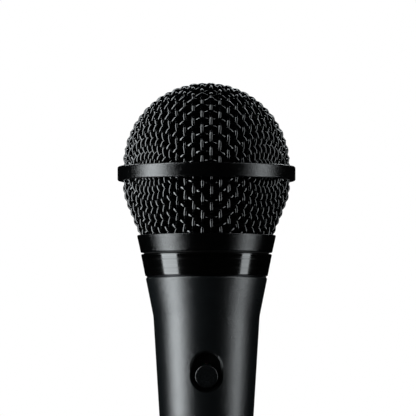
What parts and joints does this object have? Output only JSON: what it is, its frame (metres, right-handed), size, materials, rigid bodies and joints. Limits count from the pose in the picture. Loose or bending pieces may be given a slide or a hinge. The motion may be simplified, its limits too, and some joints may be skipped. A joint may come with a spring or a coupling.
{
  "type": "dynamic microphone",
  "caption": "Handheld vocal microphone: woven wire ball grille with a belt, gloss band, tapered handle, thumb slide switch and cable socket in the tail.",
  "frame": {"origin": "centre of the tail's end face, on the handle's axis", "axes": "+Z along the handle towards the grille, the switch faces -Y"},
  "size_m": [0.0534, 0.0534, 0.1619],
  "materials": {
    "handle_paint": "satin, fine grain",
    "collar_paint": "satin, fine grain",
    "band_gloss": "gloss, fine turned lines",
    "neck_metal": "turned",
    "washer": "matte",
    "wire": "satin",
    "foam": "open-cell foam",
    "rubber": "matte",
    "button_plastic": "fine matte",
    "black_plastic": "matte",
    "lever_plastic": "smooth",
    "bright_steel": "plain",
    "contact_gold": "plated",
    "copper": "plain",
    "board": "solder mask",
    "terminal_board": "plain",
    "lead_red": "smooth",
    "lead_yellow": "smooth",
    "chamber": "turned",
    "capsule": "fine matte",
    "cloth": "woven",
    "magnet": "ground",
    "film": "thin film"
  },
  "bodies": {
    "handle": {"handle": "handle_paint", "label_band": "band_gloss", "neck_ring": "neck_metal", "shock_mount": "rubber", "socket_insert": "black_plastic", "contact_pin_1": "contact_gold", "contact_pin_2": "contact_gold", "contact_pin_3": "contact_gold", "insert_screw": "bright_steel", "switch_plate": "black_plastic", "plate_wedge": "black_plastic", "switch_case": "bright_steel", "switch_board": "board", "switch_terminals": "copper", "connector_leads": "lead_red", "cartridge_leads": "lead_yellow"},
    "switch": {"switch_button": "button_plastic", "switch_lever": "lever_plastic", "contact_wiper": "copper"},
    "washer": {"grille_washer": "washer"},
    "grille": {"grille_dome": "wire", "grille_cup": "wire", "grille_belt": "handle_paint", "grille_collar": "collar_paint", "foam_liner": "foam"},
    "cartridge": {"rear_chamber": "chamber", "terminal_board": "terminal_board", "capsule_tags": "contact_gold", "capsule_cup": "capsule", "yoke": "bright_steel", "magnet": "magnet", "pole_piece": "bright_steel", "diaphragm_clamp": "contact_gold", "front_cap": "capsule", "front_cloth": "cloth"},
    "diaphragm": {"diaphragm": "film", "voice_coil": "copper"}
  },
  "joints": [
    {"name": "switch_slide", "type": "slide", "parent": "handle", "child": "switch", "axis": [0, -0.0609, 0.9981], "range_m": [0, 0.0028]},
    {"name": "grille_turn", "type": "hinge", "parent": "handle", "child": "washer", "pos_m": [0, 0, 0.111], "axis": [0, 0, 1], "range_deg": [0, 1260]},
    {"name": "grille_lift", "type": "slide", "parent": "washer", "child": "grille", "axis": [0, 0, 1], "range_m": [0, 0.00351]},
    {"name": "cartridge_float", "type": "slide", "parent": "handle", "child": "cartridge", "axis": [0, 0, 1], "range_m": [-0.0006, 0.0006], "stiffness_N_per_m": 3000, "deforming": ["shock_mount", "cartridge_leads"]},
    {"name": "diaphragm_travel", "type": "slide", "parent": "cartridge", "child": "diaphragm", "axis": [0, 0, 1], "range_m": [-0.0003, 0.0003], "stiffness_N_per_m": 400}
  ],
  "couplings": [
    {"joint": "grille_lift", "follows": "grille_turn", "m_per_rad": 0.00015915}
  ]
}
